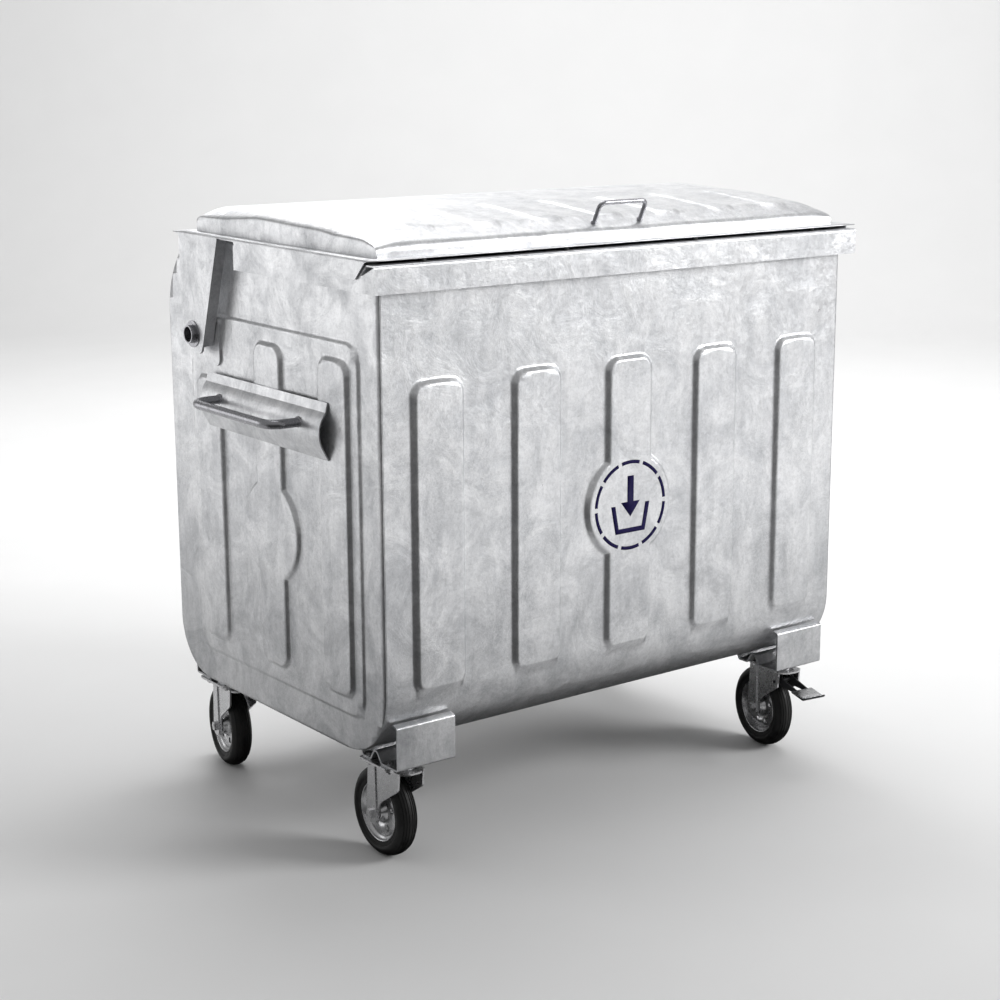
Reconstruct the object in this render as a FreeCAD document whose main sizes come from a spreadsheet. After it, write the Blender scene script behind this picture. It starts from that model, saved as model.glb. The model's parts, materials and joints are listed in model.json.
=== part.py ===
"""Four-wheeled galvanised steel waste container of the 1100 litre class, with an arched lid.

Millimetres. +X is the container's right, +Y its back, +Z up. The origin lies on the ground,
under the middle of the whole object. The lid turns on two trunnions that lie along X.
"""
import FreeCAD, Part

import math
import os
import re

import Sketcher

SIZES = {
    # tub: one bent sheet makes the front wall, the floor and the rear wall
    "body_width": 1280,       # over the two side panels
    "front_reach": 425,       # front wall's outer face, in front of the origin
    "rear_reach": 452,        # rear wall's outer face, behind the origin
    "wall_top": 1287,
    "floor_level": 255,       # underside of the floor
    "front_bend": 150,
    "rear_bend": 130,
    "crown_bend": 195,        # the rear wall bends forward at its top, round the lid's path
    "crown_turn": 67.6,       # degrees
    "crown_run": 136,         # from the corner that the bend rounds to the sheet's edge
    "sheet_gauge": 2,
    # pressed beads on the walls
    "bead_pitch": 253,
    "bead_half": 67,
    "bead_low": 390,
    "bead_high": 1054,
    "bead_height": 11,
    "bead_corner": 36,
    "disc_level": 720,
    "disc_radius": 124,
    # raised field and beads on the side panels
    "field_half": 352,
    "field_low": 328,
    "field_high": 1125,
    "field_height": 5,
    "field_corner": 52,
    "side_pitch": 260,
    "side_half": 60,
    "side_low": 367,
    "side_high": 1089,
    "side_high_rear": 985,
    "side_height": 9,
    "side_disc_level": 675,
    "side_disc_radius": 118,
    # rims
    "rim_top": 1290,
    "rim_bottom": 1233,
    "rim_depth": 28,
    "rim_gauge": 3,
    "rim_bend": 6,
    "rim_side_end": 100,
    "edge_bar_radius": 7,
    # trunnions and the lid arms that turn on them
    "trunnion_back": 275,
    "trunnion_level": 1076,
    "trunnion_radius": 22,
    "trunnion_bore": 17,
    "trunnion_end": 690,
    "pin_radius": 20,         # the free end, which a lifter's side arm takes hold of
    "pin_length": 10,
    "trunnion_plate_half": 68,
    "trunnion_plate_gauge": 5,
    "arm_face": 677,
    "arm_gauge": 5,
    "arm_flange_in": 652,
    "arm_top": 1297,
    "arm_front": 152,
    "arm_rear": 326,
    "arm_low": 1034,
    "arm_foot_front": 36,     # the arm's lower edge, before and behind the trunnion's axis
    "arm_foot_back": 43,
    "bush_radius": 30,
    "bush_clearance": 0.08,
    "bush_end": 679,
    # handle plates and handles on the side panels
    "plate_half_length": 250,
    "plate_low": 873,
    "plate_high": 992,
    "plate_lip": 20,          # the flat strip along the plate's upper edge
    "plate_lip_out": 5,
    "plate_crown": 33,
    "plate_bend": 64,
    "plate_gauge": 3,
    "handle_half": 167,
    "handle_level": 943,
    "handle_reach": 743,
    "handle_radius": 10,
    "handle_bend": 34,
    "handle_foot": 14,        # the bar starts this far out from the plate's edges
    # lid
    "lid_base": 1297,
    "lid_half": 677,
    "lid_front": 440,
    "lid_rear": 350,
    "dome_half": 632,
    "dome_front": 405,
    "dome_rear": 322,
    "dome_edge": 1324,        # top of the vertical front face
    "dome_shoulder": 1350,
    "dome_crown": 1371,
    "dome_tail": 1349,
    "dome_slope": 55,         # depth of the steep slope behind the front face
    "dome_ridge_front": 200,
    "dome_ridge_back": 60,
    "dome_ridge_fall": 7,     # the ridge's front is this much lower than its back
    "ridge_bend": 300,
    "slope_bend": 60,
    "tail_bend": 26,
    "dome_round": 22,
    "notch_reach": 40,        # the side rims are notched under the front end of the lid's rails
    "notch_tip": 10,
    "notch_depth": 22,
    "rail_drop": 39,
    "rail_gauge": 2.5,
    "rail_face": 672,
    "rail_front": 419,
    "rail_back": 93,          # the leg ends before the arm
    "rail_leg": 27,
    "rail_slant": 32,         # both ends of the leg slant by this much
    "rail_nose": 6,
    "buffer_height": 6.5,
    "lid_handle_half": 64,
    "lid_handle_radius": 5,
    "lid_handle_rise": 52,
    "lid_handle_front": 380,
    "lid_handle_foot": 1334,
    "lid_handle_lean": 27,
    "lid_handle_bend": 14,
    "buffer_radius": 6,
    "buffer_pitch": 360,
    # casters
    "caster_side": 559,
    "caster_front": 347,
    "wheel_radius": 100,
    "tyre_half": 25,
    "rim_radius": 66,
    "seat_half": 16,          # half the tyre's width where it sits on the rim
    "tread_half": 9,
    "flange_half": 20,        # the rim's rolled edges, either side of the wheel's middle
    "web_half": 9,
    "hub_half": 24,
    "sleeve_half": 27,
    "caster_trail": 57,
    "top_plate_top": 238,
    "top_plate_gauge": 5,
    "top_plate_length": 135,
    "top_plate_depth": 110,
    "hole_pitch_long": 98,
    "hole_pitch_deep": 75,
    "bolt_radius": 5,
    "hole_radius": 5.5,
    "crown_front": 60,        # how far the fork's crown reaches before and behind the swivel's axis
    "crown_back": 58,
    "crown_round": 26,
    "race_radius": 42,
    "race_height": 9,
    "race_gap": 0.5,
    "kingpin_radius": 6.5,
    "nut_radius": 9,
    "head_radius": 37,
    "fork_inner": 29,
    "fork_gauge": 4,
    "fork_rib": 2.5,          # the leg stands out as a rib on the fork's side
    "leg_half": 21,
    "axle_radius": 6,
    "hub_radius": 15,
    "bracket_gauge": 4,
    "bracket_half": 73,
    "bracket_middle": 545,
    "bracket_front": 430,
    "bracket_lip": 334,
    "bracket_lip_rear": 300,
    "bracket_lip_reach": 16,
    "bracket_lip_reach_rear": 9,
    "bracket_crest": 29,
    "bracket_crest_rear": 17,
    "bracket_crest_half": 19,
    "bracket_toe": 50,        # from the crest's middle to the inner fold
    "bracket_end": 9,         # how far the sheet runs on from there, up to the floor
    "lip_rise": 4,
    "fold_radius": 6,
    "crest_fold": 8,
    "pedal_pivot_front": 30,
    "pedal_pivot_level": 190,
    "pedal_pin_radius": 4,
    "pedal_reach": 118,
    "pedal_half": 30,
    "pedal_gauge": 4,
    "pedal_boss": 9,          # how far the cheeks stand round their pin
    "pedal_cheek": 14,        # inner face of a cheek, from the lever's middle
    "tread_depth": 52,
}

SIDES = {"left": "-1", "right": "1"}
# corner name: side, front or rear, and how far the swivel stands turned, in degrees
CASTERS = {
    "front_left": ("-1", "-1", 0.0),
    "front_right": ("1", "-1", -8.0),
    "rear_left": ("-1", "1", -10.0),
    "rear_right": ("1", "1", 5.0),
}
BRAKES = {"front_right": -9.0}      # tread's angle above the level, in degrees

doc = FreeCAD.newDocument("waste_container")
sheet = doc.addObject("Spreadsheet::Sheet", "Sizes")
for row, (alias, number) in enumerate(SIZES.items(), start=1):
    sheet.set("A%d" % row, str(number))
    sheet.setAlias("A%d" % row, alias)
doc.recompute()

TURNS = {
    "XY": FreeCAD.Rotation(),
    "XZ": FreeCAD.Rotation(FreeCAD.Vector(1, 0, 0), 90),
    "YZ": FreeCAD.Rotation(FreeCAD.Vector(1, 1, 1), 120),
}
NORMALS = {"XY": (0, 0, 1), "XZ": (0, -1, 0), "YZ": (1, 0, 0)}
nodes = []


def bound(expression):
    """The expression with each size's name written as a reference to the sheet."""
    return re.sub(r"\b([a-z]+(?:_[a-z]+)+)\b", r"Sizes.\1", expression)


def value(expression):
    """The expression's present value."""
    return float(sheet.evalExpression(expression))


def node(thing, label):
    """Name a finished sub-part."""
    thing.Label = label
    nodes.append(thing)
    return thing


# ---------------------------------------------------------------- sketches

def corner_arc(before, corner, after, radius):
    """Ends and middle of the arc that rounds one corner of an outline."""
    back = (before - corner).normalize()
    ahead = (after - corner).normalize()
    half = back.getAngle(ahead) / 2
    reach = radius / math.tan(half)
    middle = corner + (back + ahead).normalize() * (radius / math.sin(half) - radius)
    return corner + back * reach, middle, corner + ahead * reach


def outline(sketch, points, closed=True):
    """Lines through points (u, v) or (u, v, radius), all bound to the sheet, corners rounded."""
    count = len(points)
    places = [FreeCAD.Vector(value(p[0]), value(p[1]), 0) for p in points]
    arcs = [None] * count
    for k, point in enumerate(points):
        if len(point) > 2:
            arcs[k] = corner_arc(places[k - 1], places[k], places[(k + 1) % count], value(point[2]))
    lines = []
    for k in range(count if closed else count - 1):
        far = (k + 1) % count
        start = arcs[k][2] if arcs[k] else places[k]
        end = arcs[far][0] if arcs[far] else places[far]
        lines.append(sketch.addGeometry(Part.LineSegment(start, end)))
    for k, point in enumerate(points):
        before = lines[k - 1] if closed or k > 0 else None
        after = lines[k] if closed or k < count - 1 else None
        if arcs[k]:
            spot = round_corner(sketch, before, after, places[k], arcs[k], point[2])
        elif after is None:
            spot = (before, 2)
        else:
            spot = (after, 1)
            if before is not None:
                sketch.addConstraint(Sketcher.Constraint("Coincident", before, 2, after, 1))
        bind(sketch, Sketcher.Constraint("DistanceX", -1, 1, spot[0], spot[1], places[k].x), point[0])
        bind(sketch, Sketcher.Constraint("DistanceY", -1, 1, spot[0], spot[1], places[k].y), point[1])


def round_corner(sketch, before, after, corner, arc, radius):
    """An arc tangent to two lines, with a construction point left at their corner."""
    leftward = (corner - arc[0]).cross(arc[2] - corner).z > 0
    curve = sketch.addGeometry(Part.Arc(*(arc if leftward else arc[::-1])))
    first = 1 if leftward else 2
    sketch.addConstraint(Sketcher.Constraint("Tangent", before, 2, curve, first))
    sketch.addConstraint(Sketcher.Constraint("Tangent", after, 1, curve, 3 - first))
    bind(sketch, Sketcher.Constraint("Radius", curve, value(radius)), radius)
    point = sketch.addGeometry(Part.Point(corner), True)
    sketch.addConstraint(Sketcher.Constraint("PointOnObject", point, 1, before))
    sketch.addConstraint(Sketcher.Constraint("PointOnObject", point, 1, after))
    return point, 1


def bind(sketch, constraint, expression):
    """Add a constraint whose size follows the sheet."""
    index = sketch.addConstraint(constraint)
    sketch.setExpression("Constraints[%d]" % index, bound(expression))


def circle(sketch, u, v, radius):
    """A circle bound to the sheet."""
    centre = FreeCAD.Vector(value(u), value(v), 0)
    ring = sketch.addGeometry(Part.Circle(centre, FreeCAD.Vector(0, 0, 1), value(radius)))
    bind(sketch, Sketcher.Constraint("DistanceX", -1, 1, ring, 3, centre.x), u)
    bind(sketch, Sketcher.Constraint("DistanceY", -1, 1, ring, 3, centre.y), v)
    bind(sketch, Sketcher.Constraint("Radius", ring, value(radius)), radius)


def box_points(centre, half, low, high, corner, shrink="0"):
    """A rounded rectangle's outline, drawn in by shrink on every side."""
    left = "%s - (%s) + %s" % (centre, half, shrink)
    right = "%s + (%s) - %s" % (centre, half, shrink)
    bottom = "%s + %s" % (low, shrink)
    top = "%s - %s" % (high, shrink)
    radius = "%s - %s" % (corner, shrink)
    return [(left, bottom, radius), (right, bottom, radius), (right, top, radius), (left, top, radius)]


# ---------------------------------------------------------------- solids

def new_body(label):
    return node(doc.addObject("PartDesign::Body", label), label)


def body_sketch(body, plane, level):
    """An empty sketch parallel to one of the body's origin planes, level along +X, +Y or +Z."""
    sketch = body.newObject("Sketcher::SketchObject", body.Name + "_sketch")
    datum = [feature for feature in body.Origin.OriginFeatures if feature.Role == plane + "_Plane"][0]
    sketch.AttachmentSupport = [(datum, "")]
    sketch.MapMode = "FlatFace"
    sign = "-" if plane == "XZ" else ""
    sketch.setExpression("AttachmentOffset.Base.z", bound("%s(%s)" % (sign, level)))
    return sketch


def draw(sketch, shapes):
    """Draw outlines (lists of points) and circles (tuples u, v, radius)."""
    for shape in shapes:
        if isinstance(shape, tuple):
            circle(sketch, *shape)
        else:
            outline(sketch, shape)


def pad(body, plane, low, high, *shapes, flank=0):
    """Add material between two levels; a flank in degrees narrows it away from the base.

    With a flank the base is at low, and high may be on either side of it.
    """
    rising = value(high) > value(low)
    sketch = body_sketch(body, plane, low)
    draw(sketch, shapes)
    feature = body.newObject("PartDesign::Pad", body.Name + "_pad")
    feature.Profile = sketch
    feature.setExpression("Length", bound("abs((%s) - (%s))" % (high, low)))
    feature.TaperAngle = -flank
    feature.Reversed = rising == (plane == "XZ")
    sketch.Visibility = False
    doc.recompute()
    return feature


def pocket(body, plane, low, high, *shapes, flank=0):
    """Take material away between two levels, starting at low, and check that it did."""
    before = body.Shape.Volume
    rising = value(high) > value(low)
    sketch = body_sketch(body, plane, low)
    draw(sketch, shapes)
    feature = body.newObject("PartDesign::Pocket", body.Name + "_pocket")
    feature.Profile = sketch
    feature.setExpression("Length", bound("abs((%s) - (%s))" % (high, low)))
    feature.TaperAngle = -flank
    feature.Reversed = rising != (plane == "XZ")
    doc.recompute()
    if body.Shape.Volume >= before:
        raise RuntimeError("%s: a pocket cut nothing" % body.Label)
    return feature


def turned(body, points):
    """Revolve an outline of (along X, away from the axis) about the body's X axis."""
    sketch = body_sketch(body, "XY", "0")
    outline(sketch, points)
    feature = body.newObject("PartDesign::Revolution", body.Name + "_turned")
    feature.Profile = sketch
    feature.ReferenceAxis = (sketch, ["H_Axis"])
    feature.Angle = 360
    doc.recompute()
    return feature


def folded_sheet(label, plane, path, gauge, start, end):
    """A sheet folded along a path and straight across it, from start to end along the normal.

    A positive gauge thickens the sheet to the right of the path, a negative one to the left.
    """
    sketch = doc.addObject("Sketcher::SketchObject", label + "_path")
    sketch.Placement = FreeCAD.Placement(FreeCAD.Vector(), TURNS[plane])
    axis = "xyz"[[abs(n) for n in NORMALS[plane]].index(1)]
    sketch.setExpression("Placement.Base." + axis, bound(start))
    outline(sketch, path, closed=False)
    doc.recompute()
    section = doc.addObject("Part::Offset2D", label + "_section")
    section.Source = sketch
    section.Mode = "Skin"
    section.Join = "Intersection"
    section.Fill = True
    section.setExpression("Value", bound(gauge))
    run = doc.addObject("Part::Extrusion", label + "_run")
    run.Base = section
    run.DirMode = "Custom"
    run.Dir = FreeCAD.Vector(*NORMALS[plane])
    run.setExpression("LengthFwd", bound("abs((%s) - (%s))" % (end, start)))
    run.Solid = True
    doc.recompute()
    body = new_body(label)
    body.BaseFeature = run
    doc.recompute()
    return body


def round_bar(label, path, level, radius):
    """A round bar bent along a path (x, y) at one level; its first run lies along X."""
    body = new_body(label)
    spine = body_sketch(body, "XY", level)
    outline(spine, path, closed=False)
    section = body_sketch(body, "YZ", path[0][0])
    circle(section, path[0][1], level, radius)
    doc.recompute()
    pipe = body.newObject("PartDesign::AdditivePipe", label + "_pipe")
    pipe.Profile = section
    pipe.Spine = (spine, ["Edge%d" % (k + 1) for k in range(len(spine.Shape.Edges))])
    doc.recompute()
    return body


def place(body, x="0", y="0", z="0", turn=0.0, axis=(0, 0, 1)):
    """Move a body to its place, bound to the sheet."""
    body.Placement = FreeCAD.Placement(
        FreeCAD.Vector(value(x), value(y), value(z)),
        FreeCAD.Rotation(FreeCAD.Vector(*axis), turn))
    body.setExpression("Placement.Base.x", bound(x))
    body.setExpression("Placement.Base.y", bound(y))
    body.setExpression("Placement.Base.z", bound(z))


def edges_where(shape, test):
    """Names of the edges whose bounding box passes the test."""
    return ["Edge%d" % (k + 1) for k, edge in enumerate(shape.Edges) if test(edge.BoundBox)]


# ---------------------------------------------------------------- tub

PRESS_FLANK = 45
INSET = "0.414 * sheet_gauge"      # how much smaller a 45 degree pressing is on the sheet's inside
CROWN_CORNER = "(wall_top - crown_run * cos(crown_turn))"


def bent_outline(inset):
    """The tub's side view inside its front, floor and rear, drawn in by inset; open at the top."""
    rear = "rear_reach - %s" % inset
    return [
        ("-front_reach + %s" % inset, "wall_top"),
        ("-front_reach + %s" % inset, "floor_level + %s" % inset, "front_bend - %s" % inset),
        (rear, "floor_level + %s" % inset, "rear_bend - %s" % inset),
        (rear, "%s - %s * tan(crown_turn / 2)" % (CROWN_CORNER, inset), "crown_bend - %s" % inset),
        ("rear_reach - crown_run * sin(crown_turn) - %s * cos(crown_turn)" % inset,
         "wall_top - %s * sin(crown_turn)" % inset),
    ]


def press_wall(body, sign, reach, disc):
    """Five beads pressed out of the front or rear wall, with a round field on the middle one."""
    face = "%s * %s" % (sign, reach)
    inner = "%s * (%s - sheet_gauge)" % (sign, reach)
    crest = "%s * (%s + bead_height)" % (sign, reach)
    crest_inner = "%s * (%s + bead_height - sheet_gauge)" % (sign, reach)

    def beads(shrink):
        return [box_points("%d * bead_pitch" % k, "bead_half", "bead_low", "bead_high", "bead_corner", shrink)
                for k in range(-2, 3)]

    pad(body, "XZ", face, crest, *beads("0"), flank=PRESS_FLANK)
    if disc:
        pad(body, "XZ", face, crest, ("0", "disc_level", "disc_radius"), flank=PRESS_FLANK)
    pocket(body, "XZ", inner, crest_inner, *beads(INSET), flank=PRESS_FLANK)
    if disc:
        pocket(body, "XZ", inner, crest_inner, ("0", "disc_level", "disc_radius - " + INSET),
               flank=PRESS_FLANK)


def tub_wrap():
    body = folded_sheet("tub_wrap", "YZ", bent_outline("0"), "-sheet_gauge",
                        "-body_width / 2 + sheet_gauge", "body_width / 2 - sheet_gauge")
    press_wall(body, "-1", "front_reach", True)
    press_wall(body, "1", "rear_reach", False)


def side_panel(side, sign):
    """A pressed side: a raised field, three beads on it and a round field on the middle bead."""
    body = new_body("side_panel_" + side)
    face = "%s * body_width / 2" % sign
    inner = "%s * (body_width / 2 - sheet_gauge)" % sign
    field = "%s * (body_width / 2 + field_height)" % sign
    field_inner = "%s * (body_width / 2 + field_height - sheet_gauge)" % sign
    crest = "%s * (body_width / 2 + field_height + side_height)" % sign
    crest_inner = "%s * (body_width / 2 + field_height + side_height - sheet_gauge)" % sign
    border = bent_outline("0")
    pad(body, "YZ", inner, face, border)

    def beads(shrink):
        tops = {"-1": "side_high", "0": "side_high", "1": "side_high_rear"}
        return [box_points("%s * side_pitch" % k, "side_half", "side_low", top, "bead_corner", shrink)
                for k, top in tops.items()]

    field_box = ("0", "field_half", "field_low", "field_high", "field_corner")
    pad(body, "YZ", face, field, box_points(*field_box), flank=PRESS_FLANK)
    pad(body, "YZ", field, crest, *beads("0"), flank=PRESS_FLANK)
    pad(body, "YZ", field, crest, ("0", "side_disc_level", "side_disc_radius"), flank=PRESS_FLANK)
    pocket(body, "YZ", inner, field_inner, box_points(*field_box, INSET), flank=PRESS_FLANK)
    pocket(body, "YZ", field_inner, crest_inner, *beads(INSET), flank=PRESS_FLANK)
    pocket(body, "YZ", field_inner, crest_inner,
           ("0", "side_disc_level", "side_disc_radius - " + INSET), flank=PRESS_FLANK)


def rims():
    """The comb rim along the front, the side rims and the round bar along the rear edge."""
    face = "front_reach + rim_depth"
    folded_sheet("front_comb_rim", "YZ", [
        ("-front_reach + sheet_gauge", "rim_top"),
        ("-(%s)" % face, "rim_top", "rim_bend"),
        ("-(%s)" % face, "rim_bottom"),
    ], "-rim_gauge", "-body_width / 2 - rim_depth", "body_width / 2 + rim_depth")
    for side, sign in SIDES.items():
        inner = "%s * (body_width / 2 - sheet_gauge)" % sign
        outer = "%s * (body_width / 2 + rim_depth - 1)" % sign
        rim = folded_sheet("side_rim_" + side, "XZ", [
            (inner, "rim_top"),
            (outer, "rim_top", "rim_bend"),
            (outer, "rim_bottom"),
        ], "rim_gauge" if sign == "-1" else "-rim_gauge", "rim_side_end", "-(%s) + rim_gauge" % face)
        front = "-(%s) - 1" % face
        back = "-front_reach + sheet_gauge"
        pocket(rim, "XY", "rim_top + 1", "rim_top - rim_gauge",
               [(inner + " - %s" % sign, front), (outer + " + %s" % sign, front),
                (outer + " + %s" % sign, back), (inner + " - %s" % sign, back)])
        pocket(rim, "YZ", "%s * body_width / 2" % sign, outer + " + %s" % sign, [
            ("-rail_front - notch_reach", "rim_top + 1"),
            ("-rail_front + notch_tip", "rim_top - notch_depth"),
            ("-rail_front + notch_tip + rail_nose", "rim_top - notch_depth"),
            ("-rail_front - rail_nose", "rim_top + 1"),
        ])
    bar = new_body("rear_edge_bar")
    inward = "(sheet_gauge + edge_bar_radius)"
    back = "(crown_run - edge_bar_radius - 1)"
    pad(bar, "YZ", "-body_width / 2 + sheet_gauge", "body_width / 2 - sheet_gauge",
        ("rear_reach - %s * sin(crown_turn) - %s * cos(crown_turn)" % (back, inward),
         "%s + %s * cos(crown_turn) - %s * sin(crown_turn)" % (CROWN_CORNER, back, inward),
         "edge_bar_radius"))


def trunnions():
    """The tubes that the lid turns on and that a lifter takes hold of, on their backing plates."""
    field = "(body_width / 2 + field_height)"
    axis = ("trunnion_back", "trunnion_level")
    for side, sign in SIDES.items():
        plate = new_body("trunnion_plate_" + side)
        pad(plate, "YZ", "%s * %s" % (sign, field), "%s * (%s + trunnion_plate_gauge)" % (sign, field),
            box_points("trunnion_back", "trunnion_plate_half", "trunnion_level - trunnion_plate_half",
                       "field_high - 6", "bead_corner / 2"))
        tube = new_body("trunnion_" + side)
        step = "%s * (trunnion_end - pin_length)" % sign
        pad(tube, "YZ", "%s * (%s + trunnion_plate_gauge)" % (sign, field), step,
            axis + ("trunnion_radius",), axis + ("trunnion_bore",))
        pad(tube, "YZ", step, "%s * trunnion_end" % sign, axis + ("pin_radius",), axis + ("trunnion_bore",))


def handles():
    """A curved plate across the beads of each side, with a D-handle welded on it."""
    base = "body_width / 2 + field_height + side_height"
    middle = "(plate_low + plate_high) / 2"
    for side, sign in SIDES.items():
        folded_sheet("handle_plate_" + side, "XZ", [
            ("%s * (%s)" % (sign, base), "plate_high"),
            ("%s * (%s + plate_lip_out)" % (sign, base), "plate_high - plate_lip", "fold_radius"),
            ("%s * (%s + plate_crown)" % (sign, base), middle, "plate_bend"),
            ("%s * (%s)" % (sign, base), "plate_low"),
        ], "plate_gauge" if sign == "1" else "-plate_gauge", "plate_half_length", "-plate_half_length")
        foot = "%s * (%s + plate_gauge + handle_foot)" % (sign, base)
        reach = "%s * handle_reach" % sign
        round_bar("side_handle_" + side, [
            (foot, "-handle_half"),
            (reach, "-handle_half", "handle_bend"),
            (reach, "handle_half", "handle_bend"),
            (foot, "handle_half"),
        ], "handle_level", "handle_radius")


def bolt_spots(sign, end):
    """Centres of the four bolts that hold one caster's top plate."""
    return [("%s * caster_side + %s * hole_pitch_long / 2" % (sign, i),
             "%s * caster_front + %s * hole_pitch_deep / 2" % (end, j))
            for i in ("-1", "1") for j in ("-1", "1")]


def bolt_holes(sign, end):
    return [spot + ("hole_radius",) for spot in bolt_spots(sign, end)]


def caster_brackets():
    """W-shaped folded sheets under the corners, with a plate that stands up before the wall."""
    low = "top_plate_top"
    for corner, (sign, end, _) in CASTERS.items():
        tail = "" if end == "-1" else "_rear"
        lip = "bracket_lip" + tail
        front = "%s * bracket_front" % end
        path = [
            ("%s * (bracket_front - bracket_lip_reach%s)" % (end, tail), lip + " + lip_rise"),
            (front, lip, "fold_radius"),
            (front, low, "fold_radius"),
            ("%s * (caster_front + bracket_crest_half)" % end, low, "crest_fold"),
            ("%s * caster_front" % end, low + " + bracket_crest" + tail, "crest_fold"),
            ("%s * (caster_front - bracket_crest_half)" % end, low, "crest_fold"),
            ("%s * (caster_front - bracket_toe)" % end, low, "fold_radius"),
            ("%s * (caster_front - bracket_toe - bracket_end)" % end, "floor_level"),
        ]
        bracket = folded_sheet("caster_bracket_" + corner, "YZ", path,
                               "-bracket_gauge" if end == "-1" else "bracket_gauge",
                               "%s * bracket_middle - bracket_half" % sign,
                               "%s * bracket_middle + bracket_half" % sign)
        pocket(bracket, "XY", low + " - 1", low + " + bracket_gauge + 1", *bolt_holes(sign, end))


# ---------------------------------------------------------------- lid

def lid_shell():
    body = new_body("lid_shell")
    profile = [
        ("-dome_front", "lid_base"),
        ("-dome_front", "dome_edge", "dome_round + 2"),
        ("-dome_front + dome_slope", "dome_shoulder", "slope_bend"),
        ("-dome_ridge_front", "dome_crown - dome_ridge_fall", "ridge_bend"),
        ("dome_ridge_back", "dome_crown", "ridge_bend"),
        ("dome_rear", "dome_tail", "tail_bend"),
        ("dome_rear", "lid_base"),
    ]
    block = pad(body, "YZ", "-dome_half", "dome_half", profile)
    round_ends = body.newObject("PartDesign::Fillet", "dome_round")
    half = value("dome_half")
    base = value("lid_base")
    ends = edges_where(block.Shape, lambda box: abs(box.XLength) < 0.01 and abs(abs(box.XMin) - half) < 0.01
                       and box.ZMax > base + 1)
    round_ends.Base = (block, ends)
    round_ends.setExpression("Radius", bound("dome_round"))
    doc.recompute()
    hollow = body.newObject("PartDesign::Thickness", "dome_hollow")
    floor = ["Face%d" % (k + 1) for k, face in enumerate(round_ends.Shape.Faces)
             if face.BoundBox.ZMax < base + 0.01]
    hollow.Base = (round_ends, floor)
    hollow.setExpression("Value", bound("sheet_gauge"))
    hollow.Reversed = True
    doc.recompute()
    outer = [("-lid_half", "-lid_front"), ("lid_half", "-lid_front"),
             ("lid_half", "lid_rear"), ("-lid_half", "lid_rear")]
    inner = [("-dome_half + 1", "-dome_front + 1"), ("dome_half - 1", "-dome_front + 1"),
             ("dome_half - 1", "dome_rear - 1"), ("-dome_half + 1", "dome_rear - 1")]
    pad(body, "XY", "lid_base", "lid_base + sheet_gauge", outer, inner)


def lid_rails():
    """Angles under the lid's side flanges, whose legs hang outside the side rims, and a rear bar."""
    for side, sign in SIDES.items():
        body = new_body("lid_rail_" + side)
        low = "lid_base - rail_gauge"
        pad(body, "YZ", "%s * rail_face" % sign, "%s * (rail_face - rail_gauge)" % sign, [
            ("-rail_front", "lid_base"),
            ("-rail_front", "lid_base - rail_nose", "rail_nose / 2"),
            ("-rail_front + rail_slant", "lid_base - rail_drop", "rail_nose"),
            ("rail_back - rail_slant", "lid_base - rail_drop", "rail_nose"),
            ("rail_back", "lid_base"),
        ])
        pad(body, "XZ", "-rail_front", "lid_rear", [
            ("%s * rail_face" % sign, low),
            ("%s * rail_face" % sign, "lid_base"),
            ("%s * (rail_face - rail_leg)" % sign, "lid_base"),
            ("%s * (rail_face - rail_leg)" % sign, low),
        ])
    bar = new_body("lid_rear_bar")
    pad(bar, "YZ", "-rail_face + rail_leg + 1", "rail_face - rail_leg - 1",
        ("lid_rear - edge_bar_radius", "lid_base - edge_bar_radius + 1", "edge_bar_radius - 1"))


def lid_arms():
    """Tapered plates from the lid's flange down to the trunnions, with a bush at the lower end."""
    for side, sign in SIDES.items():
        body = new_body("lid_arm_" + side)
        outer = "%s * arm_face" % sign
        inner = "%s * (arm_face - arm_gauge)" % sign
        pad(body, "YZ", outer, inner, [
            ("arm_rear", "arm_top"),
            ("arm_front", "arm_top"),
            ("trunnion_back - arm_foot_front", "arm_low", "arm_foot_front / 2"),
            ("trunnion_back + arm_foot_back", "arm_low", "arm_foot_back - 3"),
        ])
        pad(body, "YZ", outer, "%s * arm_flange_in" % sign, [
            ("arm_front", "arm_top - rail_gauge"),
            ("arm_front + arm_gauge", "arm_top - rail_gauge"),
            ("trunnion_back - arm_foot_front - arm_gauge / 2", "arm_low + arm_foot_front / 2"),
            ("trunnion_back - arm_foot_front - 3 * arm_gauge / 2", "arm_low + arm_foot_front / 2"),
        ])
        pocket(body, "YZ", "%s * (arm_face + 1)" % sign, "%s * (arm_face - arm_gauge - 1)" % sign,
               ("trunnion_back", "trunnion_level", "bush_radius"))
        bush = new_body("arm_bush_" + side)
        pad(bush, "YZ", "%s * (body_width / 2 + field_height + trunnion_plate_gauge + 1)" % sign,
            "%s * bush_end" % sign,
            ("trunnion_back", "trunnion_level", "bush_radius"),
            ("trunnion_back", "trunnion_level", "trunnion_radius + bush_clearance"))


def lid_fittings():
    """The bail handle near the lid's front edge and the rubber buffers under the flange."""
    handle = round_bar("lid_handle", [
        ("0", "-lid_handle_half"),
        ("lid_handle_rise", "-lid_handle_half", "lid_handle_bend"),
        ("lid_handle_rise", "lid_handle_half", "lid_handle_bend"),
        ("0", "lid_handle_half"),
    ], "0", "lid_handle_radius")
    stand = FreeCAD.Rotation(FreeCAD.Vector(0, 1, 0), -90)
    across = FreeCAD.Rotation(FreeCAD.Vector(0, 0, 1), 90)
    lean = FreeCAD.Rotation(FreeCAD.Vector(1, 0, 0), value("lid_handle_lean"))
    place(handle, y="-lid_handle_front", z="lid_handle_foot")
    handle.Placement.Rotation = lean * across * stand
    buffers = new_body("lid_buffers")
    spots = [("%s * buffer_pitch" % k, "-front_reach - 8", "buffer_radius")
             for k in ("-1.5", "-0.5", "0.5", "1.5")]
    pad(buffers, "XY", "lid_base", "lid_base - buffer_height", *spots)


# ---------------------------------------------------------------- casters

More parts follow.
